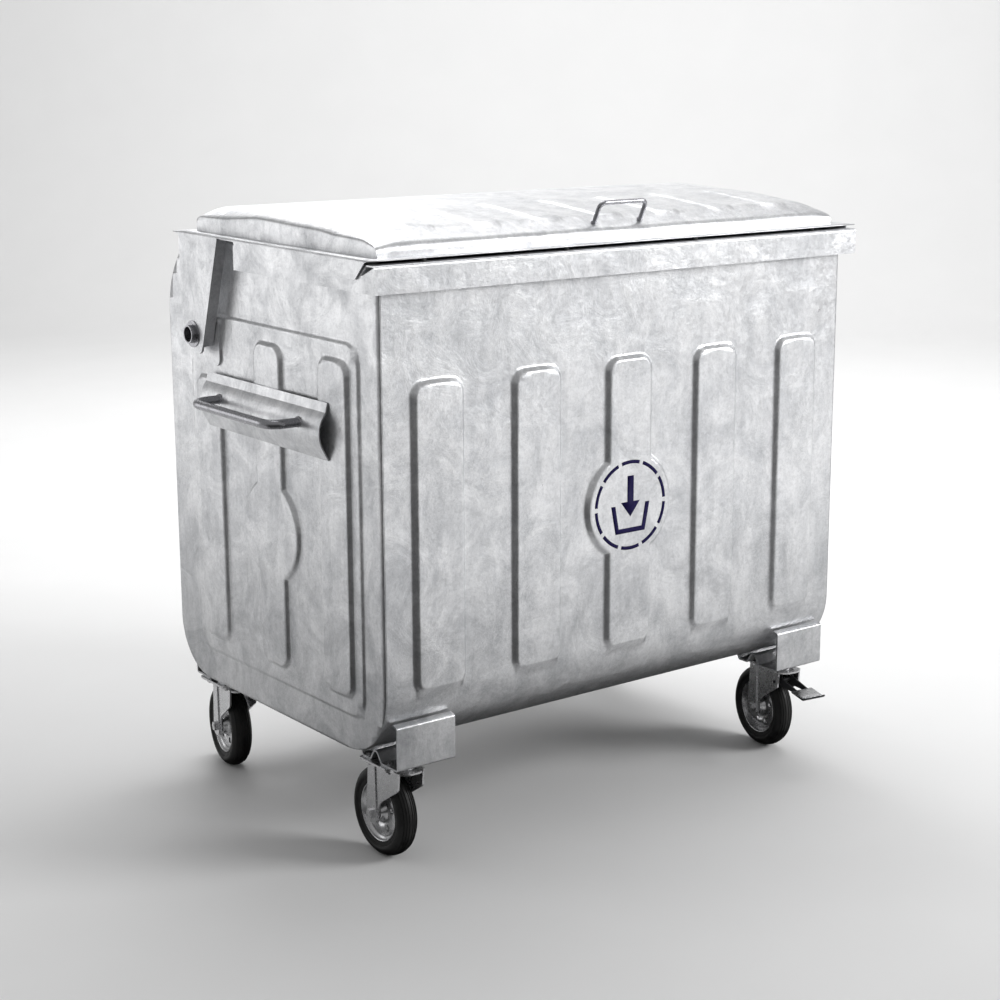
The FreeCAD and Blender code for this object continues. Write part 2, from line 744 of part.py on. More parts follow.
def hexagon(u, v, radius):
    """A hexagon's outline about a point, for a bolt head or a nut."""
    points = []
    for k in range(6):
        angle = 60 * k
        points.append(("%s + %s * cos(%d)" % (u, radius, angle), "%s + %s * sin(%d)" % (v, radius, angle)))
    return points


HEAD_TOP = "(top_plate_top - top_plate_gauge - race_height - race_gap)"


def caster_fixed(corner, sign, end):
    """The top plate with its ball race, bolted under the bracket; it doesn't turn."""
    plate = new_body("caster_plate_" + corner)
    under = "top_plate_top - top_plate_gauge"
    holes = [("%s * hole_pitch_long / 2" % i, "%s * hole_pitch_deep / 2" % j, "hole_radius")
             for i in ("-1", "1") for j in ("-1", "1")]
    pad(plate, "XY", under, "top_plate_top",
        box_points("0", "top_plate_length / 2", "-top_plate_depth / 2", "top_plate_depth / 2", "10"),
        *holes)
    pad(plate, "XY", under, under + " - race_height", ("0", "0", "race_radius"), flank=20)
    pocket(plate, "XY", "top_plate_top + 1", under + " - race_height - 1", ("0", "0", "kingpin_radius"))
    place(plate, "%s * caster_side" % sign, "%s * caster_front" % end)


def fork(corner, place_at, braked):
    """The swivelling fork: a round head over two legs that lean back to the axle."""
    body = new_body("fork_" + corner)
    outer = "(fork_inner + fork_gauge)"
    pad(body, "XY", HEAD_TOP + " - 6", HEAD_TOP, ("0", "0", "head_radius"))
    pad(body, "XY", HEAD_TOP + " - 6 - fork_gauge", HEAD_TOP + " - 6",
        box_points("0", outer, "-crown_front", "crown_back", "crown_round"))
    front = "caster_trail - leg_half"
    back = "caster_trail + leg_half"
    side = [
        ("-46", HEAD_TOP + " - 6"),
        ("-42", "pedal_pivot_level - 13", "10"),
        (front, "wheel_radius + 26", "40"),
        (front, "wheel_radius - 24", "16"),
        (back, "wheel_radius - 24", "16"),
        (back + " - 8", HEAD_TOP + " - 6"),
    ]
    leg = [
        (front + " + 2", "wheel_radius - 22", "15"),
        (back + " - 2", "wheel_radius - 22", "15"),
        (back + " - 10", HEAD_TOP + " - 7", "4"),
        (front + " + 6", HEAD_TOP + " - 7", "4"),
    ]
    axle_hole = ("caster_trail", "wheel_radius", "axle_radius + 0.1")
    holes = [axle_hole]
    if braked:
        holes.append(("-pedal_pivot_front", "pedal_pivot_level", "pedal_pin_radius + bush_clearance"))
    for sign in SIDES.values():
        pad(body, "YZ", "%s * fork_inner" % sign, "%s * %s" % (sign, outer), side, *holes)
        pad(body, "YZ", "%s * %s" % (sign, outer), "%s * (%s + fork_rib)" % (sign, outer), leg, axle_hole)
    pocket(body, "XY", HEAD_TOP + " + 1", HEAD_TOP + " - 7 - fork_gauge",
           ("0", "0", "kingpin_radius + bush_clearance"))
    place(body, *place_at)


def axle(corner, place_at):
    """A bolt through both fork legs, with a head and a nut outside them."""
    body = new_body("axle_" + corner)
    spot = ("caster_trail", "wheel_radius")
    outer = "(fork_inner + fork_gauge + fork_rib)"
    pad(body, "YZ", "-%s - 8" % outer, "%s + 9" % outer, spot + ("axle_radius",))
    pad(body, "YZ", "-%s" % outer, "-%s - 7" % outer, hexagon(*spot, "11"))
    pad(body, "YZ", outer, outer + " + 8", hexagon(*spot, "11"))
    place(body, *place_at)


def mirrored(points):
    """An outline's right half, given from the middle outwards, completed with its left half."""
    return [("-(%s)" % point[0],) + point[1:] for point in points[::-1]] + points


def wheel(corner, place_at):
    """Rubber tyre, pressed rim and bearing sleeve, turned about the axle's line."""
    tyre = new_body("tyre_" + corner)
    turned(tyre, mirrored([
        ("tread_half", "wheel_radius", "12"),
        ("tyre_half", "wheel_radius - 8", "7"),
        ("tyre_half", "rim_radius + 18", "5"),
        ("seat_half + 2", "rim_radius + 10"),
        ("seat_half", "rim_radius"),
    ]))
    disc = new_body("wheel_rim_" + corner)
    edge = [
        ("flange_half", "rim_radius - 5", "1"),
        ("flange_half", "rim_radius - 1", "1"),
        ("seat_half - 1", "rim_radius"),
    ]
    turned(disc, mirrored([
        ("hub_half", "hub_radius"),
        ("hub_half", "hub_radius + 6", "3"),
        ("hub_half - 5", "hub_radius + 10", "3"),
        ("seat_half", "rim_radius - 30", "4"),
        ("web_half", "rim_radius - 26", "4"),
        ("web_half + 3", "rim_radius - 9", "3"),
    ] + edge))
    sleeve = new_body("wheel_bearing_" + corner)
    bore = "axle_radius + bush_clearance"
    turned(sleeve, mirrored([("sleeve_half", bore), ("sleeve_half", "hub_radius")]))
    x, y, z, turn = place_at
    trail_x = "%s - caster_trail * sin(%s)" % (x, turn)
    trail_y = "%s + caster_trail * cos(%s)" % (y, turn)
    for body in (tyre, disc, sleeve):
        place(body, trail_x, trail_y, "wheel_radius", turn)


def pedal(corner, place_at, tilt):
    """A brake lever: two cheeks on a cross pin before the fork's head, and a tread to step on."""
    body = new_body("brake_pedal_" + corner)
    tread_back = "-pedal_reach + tread_depth"
    cheek = [
        ("-pedal_boss", "-pedal_boss - 3", "pedal_boss / 2"),
        ("pedal_boss", "-pedal_boss - 3", "pedal_boss / 2"),
        ("pedal_boss", "pedal_boss", "pedal_boss / 2"),
        ("-pedal_boss - 5", "pedal_boss", "2"),
        (tread_back + " - 8", "pedal_gauge"),
        (tread_back + " - 8", "-pedal_gauge / 2"),
    ]
    for sign in SIDES.values():
        pad(body, "YZ", "%s * pedal_cheek" % sign, "%s * (pedal_cheek + pedal_gauge)" % sign, cheek)
    pad(body, "YZ", "-pedal_half", "pedal_half", [
        (tread_back, "0", "pedal_gauge / 2"),
        (tread_back, "pedal_gauge"),
        ("-pedal_reach + 6", "pedal_gauge", "4"),
        ("-pedal_reach", "2 * pedal_gauge + 1"),
        ("-pedal_reach - 3", "2 * pedal_gauge - 1"),
        ("-pedal_reach + 5", "0", "4"),
    ])
    pin_end = "(fork_inner + fork_gauge + 2)"
    pad(body, "YZ", "-" + pin_end, pin_end, ("0", "0", "pedal_pin_radius"))
    x, y, z, turn = place_at
    pivot_x = "%s + pedal_pivot_front * sin(%s)" % (x, turn)
    pivot_y = "%s - pedal_pivot_front * cos(%s)" % (y, turn)
    place(body, pivot_x, pivot_y, "pedal_pivot_level")
    swing = FreeCAD.Rotation(FreeCAD.Vector(0, 0, 1), turn)
    body.Placement.Rotation = swing * FreeCAD.Rotation(FreeCAD.Vector(1, 0, 0), -tilt)


def casters():
    for corner, (sign, end, turn) in CASTERS.items():
        caster_fixed(corner, sign, end)
        place_at = ("%s * caster_side" % sign, "%s * caster_front" % end, "0", turn)
        fork(corner, place_at, corner in BRAKES)
        axle(corner, place_at)
        wheel(corner, place_at)
        if corner in BRAKES:
            pedal(corner, place_at, BRAKES[corner])


def caster_fasteners():
    """The bolts and nuts of all four top plates, and the four kingpins that hold the forks."""
    bolts = new_body("caster_bolts")
    bolts.AllowCompound = True
    pins = new_body("kingpins")
    pins.AllowCompound = True
    under = "top_plate_top - top_plate_gauge"
    over = "top_plate_top + bracket_gauge"
    head_low = HEAD_TOP + " - 6 - fork_gauge - 0.4"
    for sign, end, _ in CASTERS.values():
        for spot in bolt_spots(sign, end):
            pad(bolts, "XY", over, over + " + 6", hexagon(*spot, "nut_radius"))
            pad(bolts, "XY", over, under + " - 12", spot + ("bolt_radius",))
            pad(bolts, "XY", under, under + " - 8", hexagon(*spot, "nut_radius"))
        centre = ("%s * caster_side" % sign, "%s * caster_front" % end)
        pad(pins, "XY", head_low, "top_plate_top", centre + ("kingpin_radius",))
        pad(pins, "XY", head_low, head_low + " - 7", hexagon(*centre, "nut_radius + 2"))



tub_wrap()
for side_name, side_sign in SIDES.items():
    side_panel(side_name, side_sign)
rims()
trunnions()
handles()
caster_brackets()
lid_shell()
lid_rails()
lid_arms()
lid_fittings()
casters()
caster_fasteners()
doc.recompute()

for thing in doc.Objects:
    if "Invalid" in thing.State or "Error" in thing.State:
        raise RuntimeError("%s did not rebuild: %s" % (thing.Label, thing.State))
os.makedirs("parts", exist_ok=True)
for part_node in nodes:
    shape = part_node.Shape
    if shape.isNull() or not shape.isValid() or not shape.Solids:
        raise RuntimeError("%s has no sound shape" % part_node.Label)
    shape.exportStep("parts/%s.step" % part_node.Label)
print("%d sub-parts written" % len(nodes))
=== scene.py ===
"""Looks of a four-wheeled galvanised steel waste container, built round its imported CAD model.

Metres, in the CAD model's frame: +X the container's right, +Y its back, +Z up.
The large pressed sheets and the wheels are replaced by finer meshes; the other CAD nodes stay and
get materials. Sizes below repeat the CAD model's.
"""

import json
import math

import bmesh
import bpy
from mathutils import Matrix, Vector


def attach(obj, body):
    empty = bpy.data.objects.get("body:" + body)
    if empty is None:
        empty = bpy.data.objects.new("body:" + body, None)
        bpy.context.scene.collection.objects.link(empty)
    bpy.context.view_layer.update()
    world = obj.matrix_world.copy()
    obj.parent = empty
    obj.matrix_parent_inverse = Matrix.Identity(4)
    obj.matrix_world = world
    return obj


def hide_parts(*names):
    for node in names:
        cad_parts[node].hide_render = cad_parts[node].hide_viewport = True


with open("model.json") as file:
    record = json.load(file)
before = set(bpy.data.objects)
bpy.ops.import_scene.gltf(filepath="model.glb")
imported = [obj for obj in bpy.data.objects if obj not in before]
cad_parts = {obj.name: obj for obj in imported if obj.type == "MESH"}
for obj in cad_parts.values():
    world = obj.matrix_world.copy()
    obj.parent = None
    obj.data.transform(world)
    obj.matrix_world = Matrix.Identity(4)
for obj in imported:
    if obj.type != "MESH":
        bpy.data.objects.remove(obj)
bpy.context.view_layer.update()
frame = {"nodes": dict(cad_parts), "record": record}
MM = 0.001

# ---------------------------------------------------------------- sizes, in millimetres

BODY_HALF = 640
SHEET = 2
FRONT = -425
REAR = 452
WALL_TOP = 1287
FLOOR = 255
FRONT_BEND = 150
REAR_BEND = 130
CROWN_BEND = 195
CROWN_TURN = math.radians(67.6)
CROWN_RUN = 136

BEAD_PITCH = 253
BEAD = {"half": 67, "low": 390, "high": 1054, "round": 36, "height": 11}
DISC = {"level": 720, "radius": 124}

FIELD = {"half": 352, "low": 328, "high": 1125, "round": 52, "height": 5}
SIDE_PITCH = 260
SIDE_BEAD = {"half": 60, "low": 367, "high": 1089, "round": 36, "height": 9}
SIDE_BEAD_REAR_HIGH = 985
SIDE_DISC = {"level": 675, "radius": 118}

LID_BASE = 1297
LID_HALF = 677
LID_FRONT = -440
LID_REAR = 350
DOME_HALF = 632
DOME_SLOPE = {"run": 64, "drop": 24}
LID_RIB_PITCH = 165
LID_RIB = {"half": 40, "low": -372, "high": -128, "round": 30, "height": 4}

WHEEL_RADIUS = 100
WHEEL_SWIVELS = {"front_left": (-559, -347, 0), "front_right": (559, -347, -8),
                 "rear_left": (-559, 347, -10), "rear_right": (559, 347, 5)}
CASTER_TRAIL = 57
PEDAL = {"front": 30, "level": 190, "tilt": 9, "reach": 118, "half": 30, "gauge": 4}
TREAD = {"length": 50, "lip": 5, "gap": 0.4, "gauge": 1.2}

# distances between mesh lines, and how far the fine ones reach past a pressed shape's edge
COARSE = {"across": 22, "up": 30, "lid_along": 9, "lid_across": 26, "floor": 60, "side_edge": 6}
FINE = {"flank": 2.6, "round": 2.8, "disc": 3.2, "rib": 3.5, "edge": 1.5}
MARGIN = 3
FIELD_FLANK = 11
RIB_FLANK = 14
CLOSEST_SIDE_LINES = 0.8
SIDE_FOOT = 110         # height of the side panel's curved foot that gets close lines
SIDE_SHOULDER = 1110    # level above which its curved back edge does too

# half sections as (across from the middle, radius), followed outwards
TYRE_SHOULDER = [(20, 91.5), (22.5, 89), (24.2, 86), (25, 82.5), (24.4, 79), (22, 76.8),
                 (20.6, 75.6), (20.2, 73), (19, 67), (16, 66)]
TYRE_GROOVE = {"places": (4, 10, 16), "depth": 1.6, "top": 0.9, "bottom": 0.5}
TREAD_CROWN = 0.018
RIM_EDGE = [(10, 56), (11.5, 57), (13, 60), (16, 63), (18.4, 63.4), (19.4, 64.2),
            (19.6, 65.2), (18.8, 66), (15, 66)]
RIM_HUB = [(8.6, 27), (10, 24.5), (17, 21), (20, 19.6), (22.6, 19), (23.6, 18), (24, 15)]
RIM_GAUGE = 0.8
WEB = {"across": 10, "outer": 56, "inner": 26.5}
WEB_HOLE = {"count": 5, "ring": 41, "radius": 8, "start": 20, "depth": 6}

DOME_FRONT = -405
DOME_REAR = 322
DOME_LINE = [(DOME_FRONT, 1324, 24), (-350, 1350, 60), (-200, 1364, 300), (60, 1371, 300),
             (DOME_REAR, 1349, 26)]
DOME_HEIGHT = 60

SIGN_RING = {"outer": 101, "inner": 93, "dashes": 10, "gap": 3}
SIGN_ARROW = [(-9, 66), (-9, 8), (-27, 8), (0, -26), (27, 8), (9, 8), (9, 66)]
SIGN_TRAY = [(-55, 2), (-42, -62), (42, -62), (55, 2), (43, 2), (33, -51), (-33, -51), (-43, 2)]
SIGN_GAP = 0.25
SIGN_GAUGE = 0.2

HANDLE_FOOT = {"x": 676, "y": 167, "z": 943, "radius": 9.5, "bead": 3.2}
TRUNNION_FOOT = {"x": 650.3, "y": 275, "z": 1076, "radius": 31.5, "bead": 1.0}
LID_HANDLE_FOOT = {"x": 64, "y": -381.5, "z": 1338.5, "radius": 4.6, "bead": 2.2, "lean": 27}


# ---------------------------------------------------------------- node materials

def new_material(name, metallic, roughness):
    """A material with only a shader and its output; returns it, its node tree and its shader."""
    material = bpy.data.materials.new(name)
    material.use_nodes = True
    tree = material.node_tree
    shader = tree.nodes["Principled BSDF"]
    shader.inputs["Metallic"].default_value = metallic
    shader.inputs["Roughness"].default_value = roughness
    return material, tree, shader


def coordinates(tree):
    return tree.nodes.new("ShaderNodeTexCoord").outputs["Object"]


def stretched(tree, vector, scale):
    """Coordinates scaled along X, Y and Z, which stretches the texture that reads them."""
    mapping = tree.nodes.new("ShaderNodeMapping")
    mapping.inputs["Scale"].default_value = scale
    tree.links.new(vector, mapping.inputs["Vector"])
    return mapping.outputs["Vector"]


def noise(tree, vector, scale, detail=4, roughness=0.5, distortion=0.0):
    node = tree.nodes.new("ShaderNodeTexNoise")
    node.inputs["Scale"].default_value = scale
    node.inputs["Detail"].default_value = detail
    node.inputs["Roughness"].default_value = roughness
    node.inputs["Distortion"].default_value = distortion
    tree.links.new(vector, node.inputs["Vector"])
    return node.outputs["Fac"]


def crystals(tree, vector, scale):
    """One random grey for each cell, like the flowers of a zinc coat."""
    node = tree.nodes.new("ShaderNodeTexVoronoi")
    node.inputs["Scale"].default_value = scale
    tree.links.new(vector, node.inputs["Vector"])
    split = tree.nodes.new("ShaderNodeSeparateColor")
    tree.links.new(node.outputs["Color"], split.inputs["Color"])
    return split.outputs["Red"]


def curve(tree, value, shades):
    """A colour ramp; shades are (position, grey) or (position, (r, g, b))."""
    ramp = tree.nodes.new("ShaderNodeValToRGB")
    elements = ramp.color_ramp.elements
    while len(elements) < len(shades):
        elements.new(0.5)
    for element, (position, shade) in zip(elements, shades):
        element.position = position
        rgb = shade if isinstance(shade, tuple) else (shade, shade, shade)
        element.color = rgb + (1,)
    tree.links.new(value, ramp.inputs["Fac"])
    return ramp.outputs["Color"]


def blended(tree, share, first, second, mode="MIX"):
    """Mix two colours; share is a number or another node's output."""
    mix = tree.nodes.new("ShaderNodeMix")
    mix.data_type = "RGBA"
    mix.blend_type = mode
    if isinstance(share, float):
        mix.inputs["Factor"].default_value = share
    else:
        tree.links.new(share, mix.inputs["Factor"])
    for socket, source in ((mix.inputs[6], first), (mix.inputs[7], second)):
        if isinstance(source, tuple):
            socket.default_value = source + (1,)
        else:
            tree.links.new(source, socket)
    return mix.outputs[2]


def bumped(tree, shader, height, distance, strength=1.0):
    """Add relief to the shader, on top of any that it has."""
    bump = tree.nodes.new("ShaderNodeBump")
    bump.inputs["Distance"].default_value = distance
    bump.inputs["Strength"].default_value = strength
    tree.links.new(height, bump.inputs["Height"])
    for link in shader.inputs["Normal"].links:
        tree.links.new(link.from_socket, bump.inputs["Normal"])
    tree.links.new(bump.outputs["Normal"], shader.inputs["Normal"])


def galvanised(name, darkest, lightest, gloss):
    """Hot-dip zinc: soft clouds, fern-like crystal lines, drips and a wavy, grainy skin, with painted shade
    that darkens it low down.
    """
    material, tree, shader = new_material(name, 0.85, 0.4)
    place = coordinates(tree)
    waves = noise(tree, place, 4, detail=3, roughness=0.5, distortion=0.4)
    clouds = noise(tree, place, 9, detail=8, roughness=0.68, distortion=0.9)
    drips = noise(tree, stretched(tree, place, (30, 30, 6)), 1, detail=6, roughness=0.65)
    grain = noise(tree, place, 160, detail=5, roughness=0.75)
    ferns = noise(tree, place, 34, detail=6, roughness=0.72, distortion=2.4)
    flowers = crystals(tree, place, 110)
    middle = tuple((a + b) / 2 for a, b in zip(darkest, lightest))
    base = curve(tree, clouds, [(0.34, darkest), (0.48, middle), (0.60, lightest)])
    base = blended(tree, 0.30, base, curve(tree, drips, [(0.38, darkest), (0.6, lightest)]))
    base = blended(tree, 0.20, base, curve(tree, flowers, [(0.0, 0.5), (1.0, 1.0)]), "MULTIPLY")
    base = blended(tree, 0.22, base, curve(tree, grain, [(0.36, 0.45), (0.56, 1.0)]), "MULTIPLY")
    lines = curve(tree, ferns, [(0.455, 0.0), (0.495, 1.0), (0.535, 0.0)])
    patches = curve(tree, waves, [(0.42, 0.15), (0.58, 1.0)])
    scribble = blended(tree, 1.0, lines, patches, "MULTIPLY")
    base = blended(tree, 0.28, base, scribble, "SCREEN")
    # painted shade: the colour darkens towards the bottom, by height with a little of the clouds mixed in
    split = tree.nodes.new("ShaderNodeSeparateXYZ")
    tree.links.new(place, split.inputs["Vector"])
    painted_low_shade = blended(tree, 0.12, split.outputs["Z"], clouds)
    base = blended(tree, 1.0, base, curve(tree, painted_low_shade, [(0.25, 0.60), (0.66, 1.0)]), "MULTIPLY")
    tree.links.new(base, shader.inputs["Base Color"])
    rough = blended(tree, 0.4, curve(tree, clouds, [(0.3, gloss + 0.18), (0.7, gloss - 0.04)]),
                    curve(tree, flowers, [(0.0, gloss - 0.04), (1.0, gloss + 0.12)]))
    tree.links.new(rough, shader.inputs["Roughness"])
    bumped(tree, shader, waves, 0.012, 0.7)
    bumped(tree, shader, curve(tree, clouds, [(0.3, 0.0), (0.7, 1.0)]), 0.0012, 0.7)
    bumped(tree, shader, curve(tree, grain, [(0.3, 0.0), (0.7, 1.0)]), 0.0003, 0.5)
    return material


def zinc_plated(name, shade):
    """Bright plated steel with faint rolling marks and wear."""
    material, tree, shader = new_material(name, 0.9, 0.3)
    place = coordinates(tree)
    wear = noise(tree, place, 60, detail=6, roughness=0.65)
    dark = tuple(0.84 * c for c in shade)
    tree.links.new(curve(tree, wear, [(0.30, dark), (0.5, shade)]), shader.inputs["Base Color"])
    tree.links.new(curve(tree, wear, [(0.3, 0.34), (0.6, 0.24)]), shader.inputs["Roughness"])
    bumped(tree, shader, noise(tree, place, 300, detail=3), 0.0003, 0.4)
    return material


def rubber(name, shade, dust):
    """Black rubber, dull, with dust in its pores."""
    material, tree, shader = new_material(name, 0.0, 0.55)
    shader.inputs["Specular IOR Level"].default_value = 0.3
    place = coordinates(tree)
    film = noise(tree, place, 45, detail=6, roughness=0.65)
    tree.links.new(curve(tree, film, [(0.4, shade), (0.75, dust)]), shader.inputs["Base Color"])
    tree.links.new(curve(tree, film, [(0.3, 0.42), (0.7, 0.7)]), shader.inputs["Roughness"])
    bumped(tree, shader, noise(tree, place, 700, detail=3), 0.0002, 0.5)
    return material


def enamel(name, shade, roughness):
    """A thin coat of paint with a faint orange peel."""
    material, tree, shader = new_material(name, 0.0, roughness)
    shader.inputs["Specular IOR Level"].default_value = 0.12
    place = coordinates(tree)
    film = noise(tree, place, 90, detail=5)
    light = tuple(min(1.0, 1.25 * c + 0.004) for c in shade)
    tree.links.new(curve(tree, film, [(0.35, shade), (0.7, light)]), shader.inputs["Base Color"])
    bumped(tree, shader, noise(tree, place, 500, detail=2), 0.0001, 0.4)
    return material


SHEET_METAL = galvanised("galvanised_sheet", (0.52, 0.53, 0.55), (0.84, 0.845, 0.86), 0.31)
ROD_METAL = zinc_plated("galvanised_rod", (0.34, 0.34, 0.36))
PLATED = zinc_plated("zinc_plate", (0.52, 0.52, 0.53))
TYRE_RUBBER = rubber("wheel_rubber", (0.004, 0.004, 0.0045), (0.016, 0.016, 0.015))
BUFFER_RUBBER = rubber("buffer_rubber", (0.02, 0.02, 0.02), (0.06, 0.06, 0.06))
BRAKE_BLACK = enamel("brake_black", (0.02, 0.02, 0.022), 0.35)
NAVY = enamel("emblem_navy", (0.004, 0.0012, 0.042), 0.6)
BY_SLOT = {"galvanised_sheet": SHEET_METAL, "zinc_plate": PLATED, "wheel_rubber": TYRE_RUBBER,
           "buffer_rubber": BUFFER_RUBBER, "brake_black": BRAKE_BLACK}


def paint(thing, material):
    thing.data.materials.clear()
    thing.data.materials.append(material)


def paint_nodes():
    """Every CAD node gets the material of its slot; bars and tubes get the darker zinc."""
    for entry in frame["record"]["subparts"]:
        name = entry["node"]
        material = BY_SLOT[entry["material_slot"]]
        if name.startswith(("side_handle", "lid_handle", "trunnion_left", "trunnion_right", "arm_bush")):
            material = ROD_METAL
        paint(frame["nodes"][name], material)


# ---------------------------------------------------------------- mesh helpers

def smooth_step(share):
    share = min(1.0, max(0.0, share))
    return share * share * (3 - 2 * share)


def depth_in_bead(across, level, centre, bead, high=None):
    """How far a point lies inside a bead's rounded outline; negative outside."""
    top = high or bead["high"]
    middle = (top + bead["low"]) / 2
    reach_across = abs(across - centre) - bead["half"] + bead["round"]
    reach_up = abs(level - middle) - (top - bead["low"]) / 2 + bead["round"]
    outside = math.hypot(max(reach_across, 0), max(reach_up, 0))
    return bead["round"] - outside - min(max(reach_across, reach_up), 0)


def stops(low, high, coarse, marks):
    """Values from low to high, coarse apart, with finer ones (start, end, step) where marks ask."""
    values = {low, high}
    count = max(1, round((high - low) / coarse))
    values.update(low + k * (high - low) / count for k in range(count))
    for start, end, step in marks:
        steps = max(1, round((end - start) / step))
        fine = [start + k * (end - start) / steps for k in range(steps + 1)]
        values = {v for v in values if not start < v < end}
        values.update(v for v in fine if low < v < high)
    ordered = sorted(values)
    return [v for k, v in enumerate(ordered) if k == 0 or v - ordered[k - 1] > 0.3]


def spread(values):
    """Sorted values, less those that lie too close after their neighbour."""
    ordered = sorted(values)
    return [v for k, v in enumerate(ordered) if k == 0 or v - ordered[k - 1] > CLOSEST_SIDE_LINES]


def arc(centre, radius, start, end, steps):
    """Points on an arc, from start to end in degrees, both ends left out."""
    points = []
    for k in range(1, steps):
        angle = math.radians(start + (end - start) * k / steps)
        points.append((centre[0] + radius * math.cos(angle), centre[1] + radius * math.sin(angle)))
    return points


def rounded(corners, steps=6):
    """A line through corners (u, v) or (u, v, radius), the latter rounded."""
    line = []
    for k, corner in enumerate(corners):
        here = Vector(corner[:2])
        if len(corner) < 3:
            line.append(tuple(here))
            continue
        back = (Vector(corners[k - 1][:2]) - here).normalized()
        ahead = (Vector(corners[(k + 1) % len(corners)][:2]) - here).normalized()
        half = back.angle(ahead) / 2
        centre = here + (back + ahead).normalized() * corner[2] / math.sin(half)
        start = here + back * corner[2] / math.tan(half) - centre
        turn = start.angle_signed(here + ahead * corner[2] / math.tan(half) - centre)
        for j in range(steps + 1):
            spoke = start.copy()
            spoke.rotate(Matrix.Rotation(-turn * j / steps, 2))
            line.append(tuple(centre + spoke))
    return line


def build(name, points, faces, material, body):
    """A mesh from millimetre points, painted and riding on a body."""
    mesh = bpy.data.meshes.new(name)
    mesh.from_pydata([Vector(p) * MM for p in points], [], faces)
    mesh.validate()
    tidy = bmesh.new()
    tidy.from_mesh(mesh)
    bmesh.ops.remove_doubles(tidy, verts=tidy.verts, dist=0.00005)
    bmesh.ops.dissolve_degenerate(tidy, edges=tidy.edges, dist=0.00002)
    tidy.to_mesh(mesh)
    tidy.free()
    thing = bpy.data.objects.new(name, mesh)
    bpy.context.scene.collection.objects.link(thing)
    mesh.shade_smooth()
    mesh.materials.append(material)
    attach(thing, body)
    return thing


def grid(name, rows, material, body, closed=False):
    """A quilt of quads over rows of points; its face looks along (down the rows) x (along a row)."""
    width = len(rows[0])
    points = [point for row in rows for point in row]
    faces = []
    for i in range(len(rows) - 1):
        for j in range(width if closed else width - 1):
            k = (j + 1) % width
            faces.append((i * width + j, (i + 1) * width + j, (i + 1) * width + k, i * width + k))
    return build(name, points, faces, material, body)


def thicken(thing, gauge, sharp=50):
    """Give a sheet its gauge, inwards from the face it has."""
    solid = thing.modifiers.new("gauge", "SOLIDIFY")
    solid.thickness = gauge * MM
    solid.offset = -1
    thing.data.set_sharp_from_angle(angle=math.radians(sharp))
    return thing


# ---------------------------------------------------------------- pressed sheets

def bead_columns(half, pitch, count, bead, disc):
    """Positions across a wall: fine at the beads' flanks and over the round field."""
    marks = []
    for k in range(-(count // 2), count // 2 + 1):
        for side in (-1, 1):
            edge = k * pitch + side * bead["half"]
            inner = edge - side * (bead["height"] + 4)
            marks.append((min(edge, inner) - 2, max(edge, inner) + 2, FINE["flank"]))
    if disc:
        marks.append((-disc["radius"] - MARGIN, disc["radius"] + MARGIN, FINE["disc"]))
    marks.append((-half, -half + MARGIN, FINE["edge"]))
    marks.append((half - MARGIN, half, FINE["edge"]))
    return stops(-half, half, COARSE["across"], marks)


def bead_levels(low, high, bead, disc):
    """Levels up a wall: fine at the beads' rounded ends and over the round field."""
    marks = [(bead["low"] - MARGIN, bead["low"] + bead["round"], FINE["round"]),
             (bead["high"] - bead["round"], bead["high"] + MARGIN, FINE["round"])]
    if disc:
        reach = disc["radius"] + MARGIN
        marks.append((disc["level"] - reach, disc["level"] + reach, FINE["disc"]))
    return stops(low, high, COARSE["up"], marks)


def wall_rise(x, z, disc):
    """How far the front or rear wall stands out at a point."""
    bead = max(depth_in_bead(x, z, k * BEAD_PITCH, BEAD) for k in range(-2, 3))
    if disc:
        bead = max(bead, disc["radius"] - math.hypot(x, z - disc["level"]))
    return BEAD["height"] * smooth_step(bead / (BEAD["height"] + 1))


def crown():
    """The rear-top bend: its centre, where it ends, and the sheet's edge."""
    corner = WALL_TOP - CROWN_RUN * math.cos(CROWN_TURN)
    centre = (REAR - CROWN_BEND, corner - CROWN_BEND * math.tan(CROWN_TURN / 2))
    edge = (REAR - CROWN_RUN * math.sin(CROWN_TURN), WALL_TOP)
    return centre, edge


def tub_skin():
    """Front wall, floor and rear wall as one bent and pressed sheet."""
    columns = bead_columns(BODY_HALF - SHEET, BEAD_PITCH, 5, BEAD, DISC)
    centre, edge = crown()
    front = [(FRONT, z, DISC, -1) for z in bead_levels(FLOOR + FRONT_BEND, WALL_TOP, BEAD, DISC)[::-1]]
    rear = [(REAR, z, None, 1) for z in bead_levels(FLOOR + REAR_BEND, centre[1], BEAD, None)]
    path = front
    path += [p + (None, 0) for p in arc((FRONT + FRONT_BEND, FLOOR + FRONT_BEND), FRONT_BEND, 180, 270, 16)]
    path += [(y, FLOOR, None, 0) for y in stops(FRONT + FRONT_BEND, REAR - REAR_BEND, COARSE["floor"], [])]
    path += [p + (None, 0) for p in arc((REAR - REAR_BEND, FLOOR + REAR_BEND), REAR_BEND, 270, 360, 14)]
    path += rear
    path += [p + (None, 0) for p in arc(centre, CROWN_BEND, 0, math.degrees(CROWN_TURN), 16)]
    path.append(edge + (None, 0))
    rows = []
    for y, z, disc, outward in path:
        rows.append([(x, y + outward * wall_rise(x, z, disc) if outward else y, z) for x in columns])
    skin = thicken(grid("tub_skin", rows, SHEET_METAL, "tub"), SHEET)
    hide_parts("tub_wrap")


